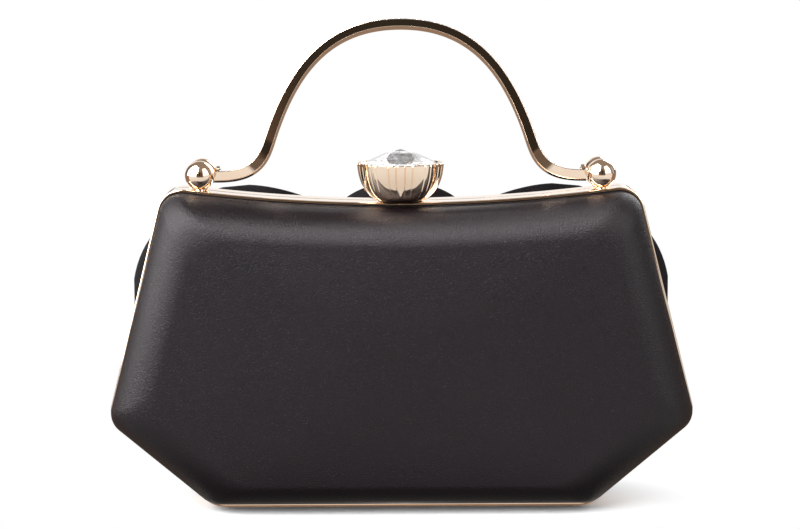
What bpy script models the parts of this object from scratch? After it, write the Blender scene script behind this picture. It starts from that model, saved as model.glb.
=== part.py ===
# Top-handle clutch: a hinged box bag in two halves, each a covered tray in a metal
# half-frame, with a swinging arched handle, a twist clasp and a layered satin flower.
# Metres, +Z up. The plain half faces -Y and the flower half faces +Y.
# The origin is the middle of the plain half-frame's flat bottom, where the bag stands.

import math

import bmesh
import bpy
from mathutils import Vector

mm = 0.001
degree = math.pi / 180

# Clearances
gap = 0.3 * mm
overrun = 1.0 * mm

# Outline of both half-frames, seen from the front
bottom_half_width = 68.4 * mm
waist_half_width = 106.5 * mm
waist_height = 32.0 * mm
top_half_width = 85.2 * mm
top_corner_height = 117.1 * mm
top_dip = 6.1 * mm
top_corner_round = 10.5 * mm
waist_corner_round = 9.0 * mm
bottom_corner_round = 11.0 * mm
fine_steps = (4, 10)
coarse_steps = (2, 5)

# Half-frames
frame_depth = 9.0 * mm
frame_wall = 1.5 * mm
frame_edge_round = 0.5 * mm
frame_edge_share = 0.3
flange_reach = 6.6 * mm
flange_thickness = 1.2 * mm
parting_gap = 0.3 * mm

# Layers of a half, from the satin inwards
cover_inset = 0.7 * mm
cover_bottom_inset = 1.7 * mm
cover_thickness = 0.8 * mm
padding_thickness = 1.5 * mm
shell_thickness = 1.6 * mm
lining_thickness = 0.6 * mm

# Rolled edge and crowned face of a half
half_rise = 17.0 * mm
roll_width = 16.0 * mm
bottom_roll_width = 10.0 * mm
roll_corner_growth = 3.0 * mm
face_crown = 1.2 * mm
crown_ring_shares = (0.72, 0.38)
face_middle_height = 60.0 * mm
roll_steps = 5
cover_roll_angles = [math.pi / 2 * step / roll_steps for step in range(roll_steps + 1)]
core_roll_angles = cover_roll_angles[::2] + cover_roll_angles[-1:]

# Bottom hinge
knuckle_radius = 1.5 * mm
hinge_pin_radius = 0.6 * mm
hinge_half_length = 57.5 * mm
knuckle_count = 5
hinge_leaf_depth = 6.2 * mm
hinge_leaf_thickness = 0.8 * mm
hinge_head_radius = 1.2 * mm
hinge_head_length = 0.8 * mm
hinge_corner_reach = 72.0 * mm
hinge_sides = 16

# Frame balls and the handle's pivots
ball_radius = 5.25 * mm
ball_x = 72.0 * mm
ball_height = 121.1 * mm
ball_offset = 5.5 * mm
ball_neck_radius = 1.6 * mm
pivot_pin_radius = 1.1 * mm
pivot_pin_reach = 4.0 * mm
ball_rings = 9
ball_segments = 16

# Handle, in its own plane from the pivots up
handle_lean = 9.5 * degree
handle_depth = 9.5 * mm
handle_end_thickness = 3.5 * mm
handle_top_thickness = 2.75 * mm
handle_edge_bevel = 0.3 * mm
handle_rise = 53.6 * mm
handle_bend_x = 46.5 * mm
handle_bend_height = 14.0 * mm
handle_bend_slope = 71 * degree
handle_end_gap = 0.4 * mm
handle_end_drop = 1.9 * mm
arch_top_pull = 25.0 * mm
arch_arm_pull = 26.0 * mm
foot_arm_pull = 8.0 * mm
foot_end_pull = 16.0 * mm
arch_steps = 15
foot_steps = 7
eye_radius = 2.2 * mm
eye_length = 1.7 * mm
eye_sides = 16
stone_strip_width = 6.4 * mm
stone_strip_height = 0.7 * mm
stone_strip_stop = 2.4 * mm

# Twist clasp, heights from the top of the frame under it
cup_foot_radius = 8.4 * mm
cup_rim_radius = 15.5 * mm
cup_height = 13.6 * mm
cup_wall = 1.2 * mm
cup_floor = 1.9 * mm
cup_outer_shares = ((0.0, 0.0), (0.5, 0.24), (0.8, 0.6), (1.0, 1.0))
cup_waist_share = 0.55
flute_depth = 0.75 * mm
flute_count = 14
flute_steps = 2
flute_foot_share = 0.35
crystal_radius = 13.2 * mm
crystal_crown_height = 5.6 * mm
crystal_girdle = 0.8 * mm
crystal_sides = 16
crystal_point_share = 0.45
crystal_depth_share = 0.3
crystal_crown_shares = ((0.62, 0.5), (0.1, 1.0))
stem_radius = 1.2 * mm
stem_head_radius = 3.0 * mm
stem_head_height = 0.8 * mm
lock_plate_width = 16.0 * mm
lock_plate_depth = 6.0 * mm
lock_plate_thickness = 1.0 * mm
washer_radius = 2.0 * mm
washer_thickness = 0.5 * mm
cam_hub_radius = 2.1 * mm
cam_thickness = 1.2 * mm
cam_finger_reach = 3.9 * mm
cam_finger_width = 2.0 * mm
tongue_width = 8.0 * mm
tongue_thickness = 1.2 * mm
tongue_reach = 7.2 * mm
tongue_lip_width = 1.6 * mm
tongue_lip_depth = 1.2 * mm
tongue_lip_height = 1.7 * mm
strike_width = 12.0 * mm
strike_depth = 5.6 * mm
strike_thickness = 1.0 * mm
lock_pocket_side = 1.5 * mm
lock_pocket_below = 14.0 * mm
lock_sides = 20

# Layered flower on the far face
flower_height = 60.0 * mm
petal_thickness = 1.0 * mm
levels_per_ring = 2
petal_ring_count = 3
petal_base_radius = 4.5 * mm
petal_base_half_width = 3.4 * mm
petal_wide_share = 0.7
petal_tip_angle = 78 * degree
outer_lift = 2.6 * mm
middle_lift = 4.2 * mm
inner_lift = 4.8 * mm
top_petal_length = 54.5 * mm
shoulder_petal_length = 81.8 * mm
side_petal_length = 101.5 * mm
low_petal_length = 76.0 * mm
base_petal_length = 49.0 * mm
shoulder_petal_angle = 139.1 * degree
side_petal_angle = 174.0 * degree
low_petal_angle = 214.0 * degree
shoulder_petal_twist = -43.6 * degree
side_petal_twist = 6.0 * degree
top_petal_half_width = 26.0 * mm
shoulder_petal_half_width = 24.3 * mm
side_petal_half_width = 37.0 * mm
low_petal_half_width = 25.5 * mm
base_petal_half_width = 29.0 * mm
middle_petal_length = 43.0 * mm
middle_petal_half_width = 19.0 * mm
middle_petal_count = 6
inner_petal_length = 25.0 * mm
inner_petal_half_width = 11.5 * mm
inner_petal_count = 4
button_radius = 7.0 * mm
button_height = 5.0 * mm
button_profile_shares = ((1.0, 0.0), (0.94, 0.4), (0.62, 0.82), (0.2, 1.0))
button_sides = 20
petal_rows = 4
petal_tip_rows = 5
petal_columns = 4

# Places worked out from the sizes above
roof_height = top_corner_height - top_dip
hinge_height = knuckle_radius
relief_half_depth = knuckle_radius + gap
parting_y = (frame_depth + relief_half_depth) / 2
layer_start = parting_gap / 2 + flange_thickness + gap
roll_start = frame_depth + gap
cover_outer = 0.0
cover_inner = cover_thickness
padding_outer = cover_inner + gap
padding_inner = padding_outer + padding_thickness
shell_outer = padding_inner + gap
shell_inner = shell_outer + shell_thickness
lining_outer = shell_inner + gap
lining_inner = lining_outer + lining_thickness
face_reach = roll_start + half_rise + face_crown
clasp_y = -frame_depth / 2
handle_end_x = ball_x - ball_radius - handle_end_gap


def new_material(name, colour, roughness, metallic, transmission=0.0):
    material = bpy.data.materials.new(name)
    material.use_nodes = True
    shader = material.node_tree.nodes["Principled BSDF"]
    shader.inputs["Base Color"].default_value = (*colour, 1.0)
    shader.inputs["Roughness"].default_value = roughness
    shader.inputs["Metallic"].default_value = metallic
    shader.inputs["Transmission Weight"].default_value = transmission
    material.diffuse_color = (*colour, 1.0)
    return material


def new_empty(name, place, parent=None, tilt=0.0):
    empty = bpy.data.objects.new(name, None)
    bpy.context.collection.objects.link(empty)
    empty.parent = parent
    empty.location = place
    empty.rotation_euler.x = tilt
    return empty


def new_piece(name, mesh_data, material, parent, place=(0, 0, 0), smooth_angle=None):
    """Turns a bmesh into an object whose faces point out."""
    bmesh.ops.recalc_face_normals(mesh_data, faces=mesh_data.faces)
    mesh = bpy.data.meshes.new(name)
    mesh_data.to_mesh(mesh)
    mesh_data.free()
    if smooth_angle is not None:
        mesh.shade_smooth()
        mesh.set_sharp_from_angle(angle=smooth_angle)
    mesh.materials.append(material)
    piece = bpy.data.objects.new(name, mesh)
    bpy.context.collection.objects.link(piece)
    piece.parent = parent
    piece.location = place
    return piece


def combine(piece, tool, operation="DIFFERENCE"):
    """Applies a Boolean with a tool object, which is then deleted."""
    tool.parent = piece.parent
    modifier = piece.modifiers.new("cut", "BOOLEAN")
    modifier.operation = operation
    modifier.object = tool
    bpy.context.view_layer.update()
    graph = bpy.context.evaluated_depsgraph_get()
    result = bpy.data.meshes.new_from_object(piece.evaluated_get(graph))
    piece.modifiers.clear()
    piece.data = result
    bpy.data.objects.remove(tool)


def loft(rings, closed=False):
    """Joins rings of points, all of one length, into one closed body."""
    body = bmesh.new()
    rows = [[body.verts.new(point) for point in ring] for ring in rings]
    pairs = list(zip(rows, rows[1:]))
    if closed:
        pairs.append((rows[-1], rows[0]))
    for near, far in pairs:
        for index in range(len(near)):
            after = (index + 1) % len(near)
            body.faces.new((near[index], near[after], far[after], far[index]))
    if not closed:
        body.faces.new(list(reversed(rows[0])))
        body.faces.new(rows[-1])
    return body


def box(low, high):
    body = bmesh.new()
    bmesh.ops.create_cube(body, size=1.0)
    for vertex in body.verts:
        for axis in range(3):
            vertex.co[axis] = high[axis] if vertex.co[axis] > 0 else low[axis]
    return body


def turned(profile, sides, radius_at=None):
    """Spins (radius, height) points about Z. A closed profile makes a ring."""
    rings = []
    for radius, height in profile:
        ring = []
        for index in range(sides):
            angle = 2 * math.pi * index / sides
            reach = radius_at(radius, height, angle) if radius_at else radius
            ring.append((reach * math.cos(angle), reach * math.sin(angle), height))
        rings.append(ring)
    return rings


def rod(radius, low, high, sides, axis="Z"):
    """A round rod along Z, or along X, between two places on its axis."""
    body = loft(turned(((radius, low), (radius, high)), sides))
    if axis == "X":
        for vertex in body.verts:
            vertex.co = Vector((vertex.co.z, vertex.co.x, vertex.co.y))
    return body


def cutter(mesh_data, place=(0, 0, 0)):
    return new_piece("cutter", mesh_data, metal, None, place)


def inset_corner(before, corner, after, inset_in, inset_out):
    """Where two outline edges meet after each has moved inwards."""
    way_in = (corner - before).normalized()
    way_out = (after - corner).normalized()
    start_in = corner + Vector((-way_in.y, way_in.x)) * inset_in
    start_out = corner + Vector((-way_out.y, way_out.x)) * inset_out
    across = way_in.x * way_out.y - way_in.y * way_out.x
    between = start_out - start_in
    along = (between.x * way_out.y - between.y * way_out.x) / across
    return start_in + way_in * along


def dipped(x, z):
    """Lowers a point by the hollow curve of the bag's top edge."""
    share = min(max((z - waist_height) / (top_corner_height - waist_height), 0.0), 1.0)
    return z - share * top_dip * (1 - (x / top_half_width) ** 2)


def outline(inset, steps, bottom_inset=None, corner_growth=0.0):
    """The bag's six-sided outline, moved inwards, as points (x, z)."""
    corner_steps, top_steps = steps
    if bottom_inset is None:
        bottom_inset = inset
    corners = [
        Vector((-bottom_half_width, 0.0)),
        Vector((bottom_half_width, 0.0)),
        Vector((waist_half_width, waist_height)),
        Vector((top_half_width, top_corner_height)),
        Vector((-top_half_width, top_corner_height)),
        Vector((-waist_half_width, waist_height)),
    ]
    insets = [bottom_inset, inset, inset, inset, inset, inset]
    rounds = [
        bottom_corner_round,
        bottom_corner_round,
        waist_corner_round,
        top_corner_round,
        top_corner_round,
        waist_corner_round,
    ]
    moved = []
    for index, corner in enumerate(corners):
        before = corners[index - 1]
        after = corners[(index + 1) % len(corners)]
        moved.append(inset_corner(before, corner, after, insets[index - 1], insets[index]))
    points = []
    for index, corner in enumerate(moved):
        way_in = (corner - moved[index - 1]).normalized()
        way_out = (moved[(index + 1) % len(moved)] - corner).normalized()
        turn = way_in.angle(way_out)
        radius = max(rounds[index] - inset, gap) + corner_growth
        reach = radius * math.tan(turn / 2)
        start = corner - way_in * reach
        centre = start + Vector((-way_in.y, way_in.x)) * radius
        first = math.atan2(start.y - centre.y, start.x - centre.x)
        for step in range(corner_steps + 1):
            angle = first + turn * step / corner_steps
            points.append(centre + radius * Vector((math.cos(angle), math.sin(angle))))
        if index == 3:
            top_start = points[-1]
            top_end = moved[index + 1] + Vector((reach, 0.0))
            for step in range(1, top_steps):
                points.append(top_start.lerp(top_end, step / top_steps))
    return [(point.x, dipped(point.x, point.y)) for point in points]


def ring_at(side, depth, angle, steps):
    """One ring of a half's layer, at a depth under the satin and an angle round the roll."""
    share = 1 - math.cos(angle)
    inset = cover_inset + depth + roll_width * share
    bottom_inset = cover_bottom_inset + depth + bottom_roll_width * share
    growth = (roll_corner_growth + roll_width) * share
    y = side * (roll_start + (half_rise - depth) * math.sin(angle))
    return [(x, y, z) for x, z in outline(inset, steps, bottom_inset, growth)]


def crown_ring(side, depth, share, steps):
    """A smaller copy of a layer's face ring, raised towards the middle of the face."""
    raised = side * face_crown * (1 - share * share)
    ring = ring_at(side, depth, math.pi / 2, steps)
    return [
        (x * share, y + raised, face_middle_height + (z - face_middle_height) * share)
        for x, y, z in ring
    ]


def layer(name, side, outer, inner, start, angles, material, parent, place, crowned=False):
    """One dished layer of a half, from its rim to its face and back inside."""
    skins = []
    steps = fine_steps if crowned else coarse_steps
    for depth in (outer, inner):
        skin = [ring_at(side, depth, angle, steps) for angle in angles]
        if start < roll_start:
            skin.insert(0, [(x, side * start, z) for x, y, z in skin[0]])
        if crowned:
            skin += [crown_ring(side, depth, share, steps) for share in crown_ring_shares]
        skins.append(skin)
    rings = list(reversed(skins[0])) + skins[1]
    return new_piece(name, loft(rings), material, parent, place, 40 * degree)


def half_frame(name, side, parent, place):
    """A half-frame: an outer wall with rounded edges and a flange at the parting."""
    near = parting_gap / 2
    bevel = frame_edge_round
    corner = bevel * frame_edge_share
    section = (
        (0.0, near + bevel),
        (corner, near + corner),
        (bevel, near),
        (flange_reach, near),
        (flange_reach, near + flange_thickness),
        (frame_wall, near + flange_thickness),
        (frame_wall, frame_depth),
        (bevel, frame_depth),
        (corner, frame_depth - corner),
        (0.0, frame_depth - bevel),
    )
    rings = [[(x, side * y, z) for x, z in outline(inset, fine_steps)] for inset, y in section]
    frame = new_piece(name, loft(rings, closed=True), metal, parent, place, 30 * degree)
    channel = box(
        (-hinge_half_length - hinge_head_length - gap, -relief_half_depth, -overrun),
        (hinge_half_length + hinge_head_length + gap, relief_half_depth, flange_reach + gap),
    )
    combine(frame, cutter(channel, place))
    relief = box(
        (-hinge_corner_reach, -relief_half_depth, -overrun),
        (hinge_corner_reach, relief_half_depth, 2 * hinge_height),
    )
    combine(frame, cutter(relief, place))
    return frame


def drill_frame(frame, x, y, radius, place):
    """A round hole down through the frame's top wall."""
    hole = rod(radius, roof_height - frame_wall - overrun, top_corner_height, lock_sides)
    spot = (place[0] + x, place[1] + y, place[2])
    combine(frame, cutter(hole, spot))


def cut_box(piece, low, high, place):
    combine(piece, cutter(box(low, high), place))


def half_layers(prefix, side, parent, place, pocket_half_width):
    """Cover, padding, shell and lining of one half, with room for the clasp and hinge."""
    layer(
        prefix + "_cover", side, cover_outer, cover_inner, roll_start,
        cover_roll_angles, satin, parent, place, crowned=True,
    )
    padding = layer(
        prefix + "_padding", side, padding_outer, padding_inner, layer_start,
        core_roll_angles, foam, parent, place,
    )
    shell = layer(
        prefix + "_shell", side, shell_outer, shell_inner, layer_start,
        core_roll_angles, board, parent, place,
    )
    lining = layer(
        prefix + "_lining", side, lining_outer, lining_inner, layer_start,
        core_roll_angles, lining_cloth, parent, place,
    )
    pocket_low = (-pocket_half_width, -frame_depth, roof_height - lock_pocket_below)
    pocket_high = (pocket_half_width, frame_depth, top_corner_height)
    for piece in (padding, shell, lining):
        cut_box(piece, pocket_low, pocket_high, place)
    leaf_top = frame_wall + gap + hinge_leaf_thickness
    leaf_reach = relief_half_depth + hinge_leaf_depth + gap
    cut_box(
        padding,
        (-hinge_half_length - hinge_head_length - gap, -leaf_reach, -overrun),
        (hinge_half_length + hinge_head_length + gap, leaf_reach, leaf_top + gap),
        place,
    )
    for sign in (-1, 1):
        neck = rod(
            ball_neck_radius + gap, ball_height - ball_radius - 2 * frame_wall - overrun,
            top_corner_height, lock_sides,
        )
        spot = (place[0] + sign * ball_x, place[1] + side * ball_offset, place[2])
        combine(padding, cutter(neck, spot))


def frame_ball(name, sign, side, parent, place, bored):
    """A ball on a short neck that goes through the frame's top wall."""
    profile = []
    for step in range(1, ball_rings):
        angle = math.pi * step / ball_rings - math.pi / 2
        profile.append((ball_radius * math.cos(angle), ball_radius * math.sin(angle)))
    rings = turned(profile, ball_segments)
    body = bmesh.new()
    rows = [[body.verts.new(point) for point in ring] for ring in rings]
    for near, far in zip(rows, rows[1:]):
        for index in range(ball_segments):
            after = (index + 1) % ball_segments
            body.faces.new((near[index], near[after], far[after], far[index]))
    for row, height in ((rows[0], -ball_radius), (rows[-1], ball_radius)):
        pole = body.verts.new((0, 0, height))
        for index in range(ball_segments):
            body.faces.new((row[index], row[(index + 1) % ball_segments], pole))
    middle = (
        place[0] + sign * ball_x,
        place[1] + side * ball_offset,
        place[2] + ball_height,
    )
    ball = new_piece(name, body, metal, parent, middle, 50 * degree)
    neck_low = -ball_radius - frame_wall - gap
    neck = rod(ball_neck_radius, neck_low, -ball_radius / 2, lock_sides)
    combine(ball, cutter(neck, middle), "UNION")
    if bored:
        mouth = -ball_radius - overrun
        foot = pivot_pin_reach + gap - ball_radius
        ends = sorted((sign * mouth, sign * foot))
        bore = rod(pivot_pin_radius + gap, ends[0], ends[1], eye_sides, "X")
        combine(ball, cutter(bore, middle))


def curve_point(start, pull_start, pull_end, end, share):
    """A point on a cubic curve between two ends and their pulls."""
    rest = 1 - share
    return (
        start * rest ** 3 + pull_start * 3 * rest ** 2 * share
        + pull_end * 3 * rest * share ** 2 + end * share ** 3
    )


def handle_path():
    """The handle's centreline from left end to right end, in (x, height) from the pivots."""
    top = Vector((0.0, handle_rise))
    bend = Vector((handle_bend_x, handle_bend_height))
    down = Vector((math.cos(handle_bend_slope), -math.sin(handle_bend_slope)))
    end = Vector((handle_end_x - gap / 2, -handle_end_drop))
    half = []
    for step in range(arch_steps):
        share = step / arch_steps
        half.append(curve_point(
            top, top + Vector((arch_top_pull, 0)), bend - down * arch_arm_pull, bend, share,
        ))
    for step in range(foot_steps + 1):
        share = step / foot_steps
        half.append(curve_point(
            bend, bend + down * foot_arm_pull, end - Vector((foot_end_pull, 0)), end, share,
        ))
    left = [Vector((-point.x, point.y)) for point in reversed(half[1:])]
    return left + half


def path_frames(path):
    """Each point of a path with its unit normal on the outer side."""
    frames = []
    for index, point in enumerate(path):
        before = path[max(index - 1, 0)]
        after = path[min(index + 1, len(path) - 1)]
        along = (after - before).normalized()
        if index in (0, len(path) - 1):
            along = Vector((1.0, 0.0))
        frames.append((point, Vector((-along.y, along.x))))
    return frames


def bar_half_thickness(height):
    share = min(max((height + handle_end_drop) / (handle_rise + handle_end_drop), 0), 1)
    return (handle_end_thickness + (handle_top_thickness - handle_end_thickness) * share) / 2


def make_handle(parent):
    """The flat arched bar, with an eye at each end for its pivot pin."""
    half_depth = handle_depth / 2
    bevel = handle_edge_bevel
    rings = []
    for point, normal in path_frames(handle_path()):
        half = bar_half_thickness(point.y)
        section = (
            (-half_depth + bevel, half), (half_depth - bevel, half),
            (half_depth, half - bevel), (half_depth, bevel - half),
            (half_depth - bevel, -half), (-half_depth + bevel, -half),
            (-half_depth, bevel - half), (-half_depth, half - bevel),
        )
        rings.append([
            (point.x + normal.x * out, depth, point.y + normal.y * out)
            for depth, out in section
        ])
    bar = new_piece("handle_bar", loft(rings), metal, parent, smooth_angle=35 * degree)
    for sign in (-1, 1):
        ends = sorted((sign * handle_end_x, sign * (handle_end_x - eye_length)))
        combine(bar, cutter(rod(eye_radius, ends[0], ends[1], eye_sides, "X")), "UNION")
        bore = sorted((sign * (handle_end_x + overrun), sign * (handle_end_x - eye_length + gap)))
        combine(bar, cutter(rod(pivot_pin_radius + gap, bore[0], bore[1], eye_sides, "X")))


def make_stone_strip(parent):
    """The narrow setting that carries the stones along the handle's outer side."""
    frames = path_frames(handle_path())
    low_end = handle_end_x - eye_length - stone_strip_stop
    rings = []
    for point, normal in frames:
        if abs(point.x) > low_end:
            continue
        low = bar_half_thickness(point.y) + gap
        high = low + stone_strip_height
        half = stone_strip_width / 2
        section = ((-half, low), (half, low), (half, high), (-half, high))
        rings.append([
            (point.x + normal.x * out, depth, point.y + normal.y * out)
            for depth, out in section
        ])
    new_piece("stone_strip", loft(rings), crystal, parent, smooth_angle=35 * degree)


def fluted(radius, height, angle):
    """Pulls the cup's outer wall in between its flutes, more towards the rim."""
    rise = min(max(height / cup_height, 0.0), 1.0)
    wave = abs(math.cos(flute_count * angle / 2))
    share = flute_foot_share + (1 - flute_foot_share) * rise
    return radius - flute_depth * (1 - wave) * share


def make_cup(parent):
    """The fluted bowl of the clasp, open at the top, with a bore through its floor."""
    sides = flute_count * flute_steps * 2
    outer_profile = [
        (cup_foot_radius + (cup_rim_radius - cup_foot_radius) * out, gap + (cup_height - gap) * up)
        for out, up in cup_outer_shares
    ]
    inner_profile = (
        (cup_rim_radius - cup_wall - flute_depth, cup_height - gap),
        (cup_rim_radius - 2 * cup_wall - flute_depth, cup_height * cup_waist_share),
        (cup_foot_radius - cup_wall, gap + cup_floor),
        (stem_radius + gap, gap + cup_floor),
        (stem_radius + gap, gap),
    )
    rings = turned(outer_profile, sides, fluted) + turned(inner_profile, sides)
    new_piece("clasp_cup", loft(rings, closed=True), metal, parent, smooth_angle=40 * degree)


def make_crystal(parent):
    """The cut stone in the cup: a pointed crown over a shallow pavilion."""
    girdle = cup_height + gap
    half_step = math.pi / crystal_sides
    under = girdle - crystal_girdle
    lower_profile = (
        (crystal_radius * crystal_point_share, under - crystal_radius * crystal_depth_share),
        (crystal_radius, under),
        (crystal_radius, girdle),
    )
    crown_profile = [
        (crystal_radius * out, girdle + crystal_crown_height * up)
        for out, up in crystal_crown_shares
    ]
    rings = turned(lower_profile, crystal_sides)
    for ring in turned(crown_profile, crystal_sides):
        turned_ring = [
            (x * math.cos(half_step) - y * math.sin(half_step),
             x * math.sin(half_step) + y * math.cos(half_step), z)
            for x, y, z in ring
        ]
        rings.append(turned_ring)
    new_piece("clasp_crystal", loft(rings), crystal, parent)


def make_clasp(moving, fixed, place):
    """The clasp's stem and cam, which turn, and its plate and washer under the wall."""
    make_cup(moving)
    make_crystal(moving)
    wall_under = -frame_wall
    plate_top = wall_under - gap
    plate_low = plate_top - lock_plate_thickness
    washer_top = plate_low - gap
    washer_low = washer_top - washer_thickness
    cam_top = washer_low - gap
    cam_low = cam_top - cam_thickness
    head_low = gap + cup_floor + gap
    stem = rod(stem_radius, cam_low, head_low + stem_head_height / 2, lock_sides)
    stem_piece = new_piece("clasp_stem", stem, steel, moving, smooth_angle=40 * degree)
    head = rod(stem_head_radius, head_low, head_low + stem_head_height, lock_sides)
    combine(stem_piece, cutter(head), "UNION")
    hub = rod(cam_hub_radius, cam_low, cam_top, lock_sides)
    cam = new_piece("clasp_cam", hub, steel, moving, smooth_angle=40 * degree)
    half = cam_finger_width / 2
    combine(cam, cutter(box((-half, 0, cam_low), (half, cam_finger_reach, cam_top))), "UNION")
    through = rod(stem_radius + gap, cam_low - overrun, cam_top + overrun, lock_sides)
    combine(cam, cutter(through))
    spot = (place[0], place[1] + clasp_y, place[2] + roof_height)
    plate = new_piece("lock_plate", box(
        (-lock_plate_width / 2, -lock_plate_depth / 2, plate_low),
        (lock_plate_width / 2, lock_plate_depth / 2, plate_top),
    ), steel, fixed, spot)
    through = rod(stem_radius + gap, plate_low - overrun, plate_top + overrun, lock_sides)
    combine(plate, cutter(through, spot))
    washer = rod(washer_radius, washer_low, washer_top, lock_sides)
    washer_piece = new_piece("clasp_washer", washer, steel, fixed, spot, 40 * degree)
    through = rod(stem_radius + gap, washer_low - overrun, washer_top + overrun, lock_sides)
    combine(washer_piece, cutter(through, spot))
    return cam_low


def make_strike(parent, place, cam_low):
    """The bracket under the far top wall, whose tongue reaches under the clasp's cam."""
    wall_under = roof_height - frame_wall
    plate_top = wall_under - gap
    tongue_top = roof_height + cam_low - 2 * gap
    tongue_low = tongue_top - tongue_thickness
    strike_start = layer_start + gap
    half = strike_width / 2
    strike = new_piece("strike_tongue", box(
        (-half, strike_start, plate_top - strike_thickness),
        (half, strike_start + strike_depth, plate_top),
    ), steel, parent, place)
    web = box(
        (-half, strike_start, tongue_low),
        (half, strike_start + strike_thickness, plate_top - strike_thickness / 2),
    )
    combine(strike, cutter(web, place), "UNION")
    tongue = box(
        (-tongue_width / 2, -tongue_reach, tongue_low),
        (tongue_width / 2, strike_start + strike_thickness / 2, tongue_top),
    )
    combine(strike, cutter(tongue, place), "UNION")
    lip = box(
        (tongue_width / 2 - tongue_lip_width, -tongue_reach, tongue_top - tongue_thickness / 2),
        (tongue_width / 2, -tongue_reach + tongue_lip_depth, tongue_top + tongue_lip_height),
    )
    combine(strike, cutter(lip, place), "UNION")
    return tongue_top + tongue_lip_height


def make_hinge(plain_parent, plain_place, far_parent, far_place, pin_parent, pin_place):
    """Two leaves whose knuckles alternate along one pin."""
    pitch = 2 * hinge_half_length / knuckle_count
    leaf_low = frame_wall + gap
    leaf_high = leaf_low + hinge_leaf_thickness
    bore_radius = hinge_pin_radius + gap
    for name, side, parent, place, first in (
        ("plain_hinge_leaf", -1, plain_parent, plain_place, 0),
        ("flower_hinge_leaf", 1, far_parent, far_place, 1),
    ):
        ys = sorted((side * (relief_half_depth + gap), side * (relief_half_depth + hinge_leaf_depth)))
        leaf = new_piece(name, box(
            (-hinge_half_length, ys[0], leaf_low), (hinge_half_length, ys[1], leaf_high),
        ), metal, parent, place, 40 * degree)
        for index in range(first, knuckle_count, 2):
            start = -hinge_half_length + index * pitch + gap / 2
            end = start + pitch - gap
            tab_ys = sorted((side * knuckle_radius / 2, side * (relief_half_depth + 2 * gap)))
            tab = box((start, tab_ys[0], leaf_low), (end, tab_ys[1], leaf_high))
            combine(leaf, cutter(tab, place), "UNION")
            knuckle = rod(knuckle_radius, start, end, hinge_sides, "X")
            spot = (place[0], place[1], place[2] + hinge_height)
            combine(leaf, cutter(knuckle, spot), "UNION")
        bore = rod(
            bore_radius, -hinge_half_length - overrun, hinge_half_length + overrun,
            hinge_sides, "X",
        )
        combine(leaf, cutter(bore, (place[0], place[1], place[2] + hinge_height)))
    spot = (pin_place[0], pin_place[1], pin_place[2] + hinge_height)
    length = hinge_half_length + gap / 2 + hinge_head_length
    pin = new_piece(
        "hinge_pin", rod(hinge_pin_radius, -length, length, hinge_sides, "X"),
        metal, pin_parent, spot, 40 * degree,
    )
    for sign in (-1, 1):
        ends = sorted((sign * (length - hinge_head_length + gap / 2), sign * length))
        head = rod(hinge_head_radius, ends[0], ends[1], hinge_sides, "X")
        combine(pin, cutter(head, spot), "UNION")


def petal(angle, length, half_width, level, lift, lift_length, twist=0.0):
    """A thin broad petal from the flower's middle to a rounded tip, one level of the stack."""
    wide = petal_base_radius + (length - petal_base_radius) * petal_wide_share
    stations = []
    for row in range(petal_rows):
        share = row / petal_rows
        swell = share * share * (3 - 2 * share)
        stations.append((
            petal_base_radius + (wide - petal_base_radius) * share,
            petal_base_half_width + (half_width - petal_base_half_width) * swell,
            angle + twist * share,
        ))
    for row in range(petal_tip_rows):
        turn = petal_tip_angle * row / (petal_tip_rows - 1)
        stations.append((
            wide + (length - wide) * math.sin(turn) / math.sin(petal_tip_angle),
            half_width * math.cos(turn),
            angle + twist,
        ))
    base = face_reach + gap + level * (petal_thickness + gap)
    body = bmesh.new()
    sheets = []
    for offset in (0.0, petal_thickness):
        sheet = []
        for out, half, facing in stations:
            row = []
            for column in range(petal_columns):
                across = half * (2 * column / (petal_columns - 1) - 1)
                x = out * math.cos(angle) - across * math.sin(facing)
                z = out * math.sin(angle) + across * math.cos(facing)
                reach = math.hypot(x, z)
                y = base + offset + lift * (reach / lift_length) ** 2
                row.append(body.verts.new((x, y, flower_height + z)))
            sheet.append(row)
        sheets.append(sheet)
    low, high = sheets
    last_row = len(stations) - 1
    last_column = petal_columns - 1
    for sheet in sheets:
        for row in range(last_row):
            for column in range(last_column):
                body.faces.new((
                    sheet[row][column], sheet[row][column + 1],
                    sheet[row + 1][column + 1], sheet[row + 1][column],
                ))
    rim = [(0, column) for column in range(petal_columns)]
    rim += [(row, last_column) for row in range(1, last_row + 1)]
    rim += [(last_row, column) for column in range(last_column - 1, -1, -1)]
    rim += [(row, 0) for row in range(last_row - 1, 0, -1)]
    for index, (row, column) in enumerate(rim):
        next_row, next_column = rim[(index + 1) % len(rim)]
        body.faces.new((
            low[row][column], low[next_row][next_column],
            high[next_row][next_column], high[row][column],
        ))
    return body


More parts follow.
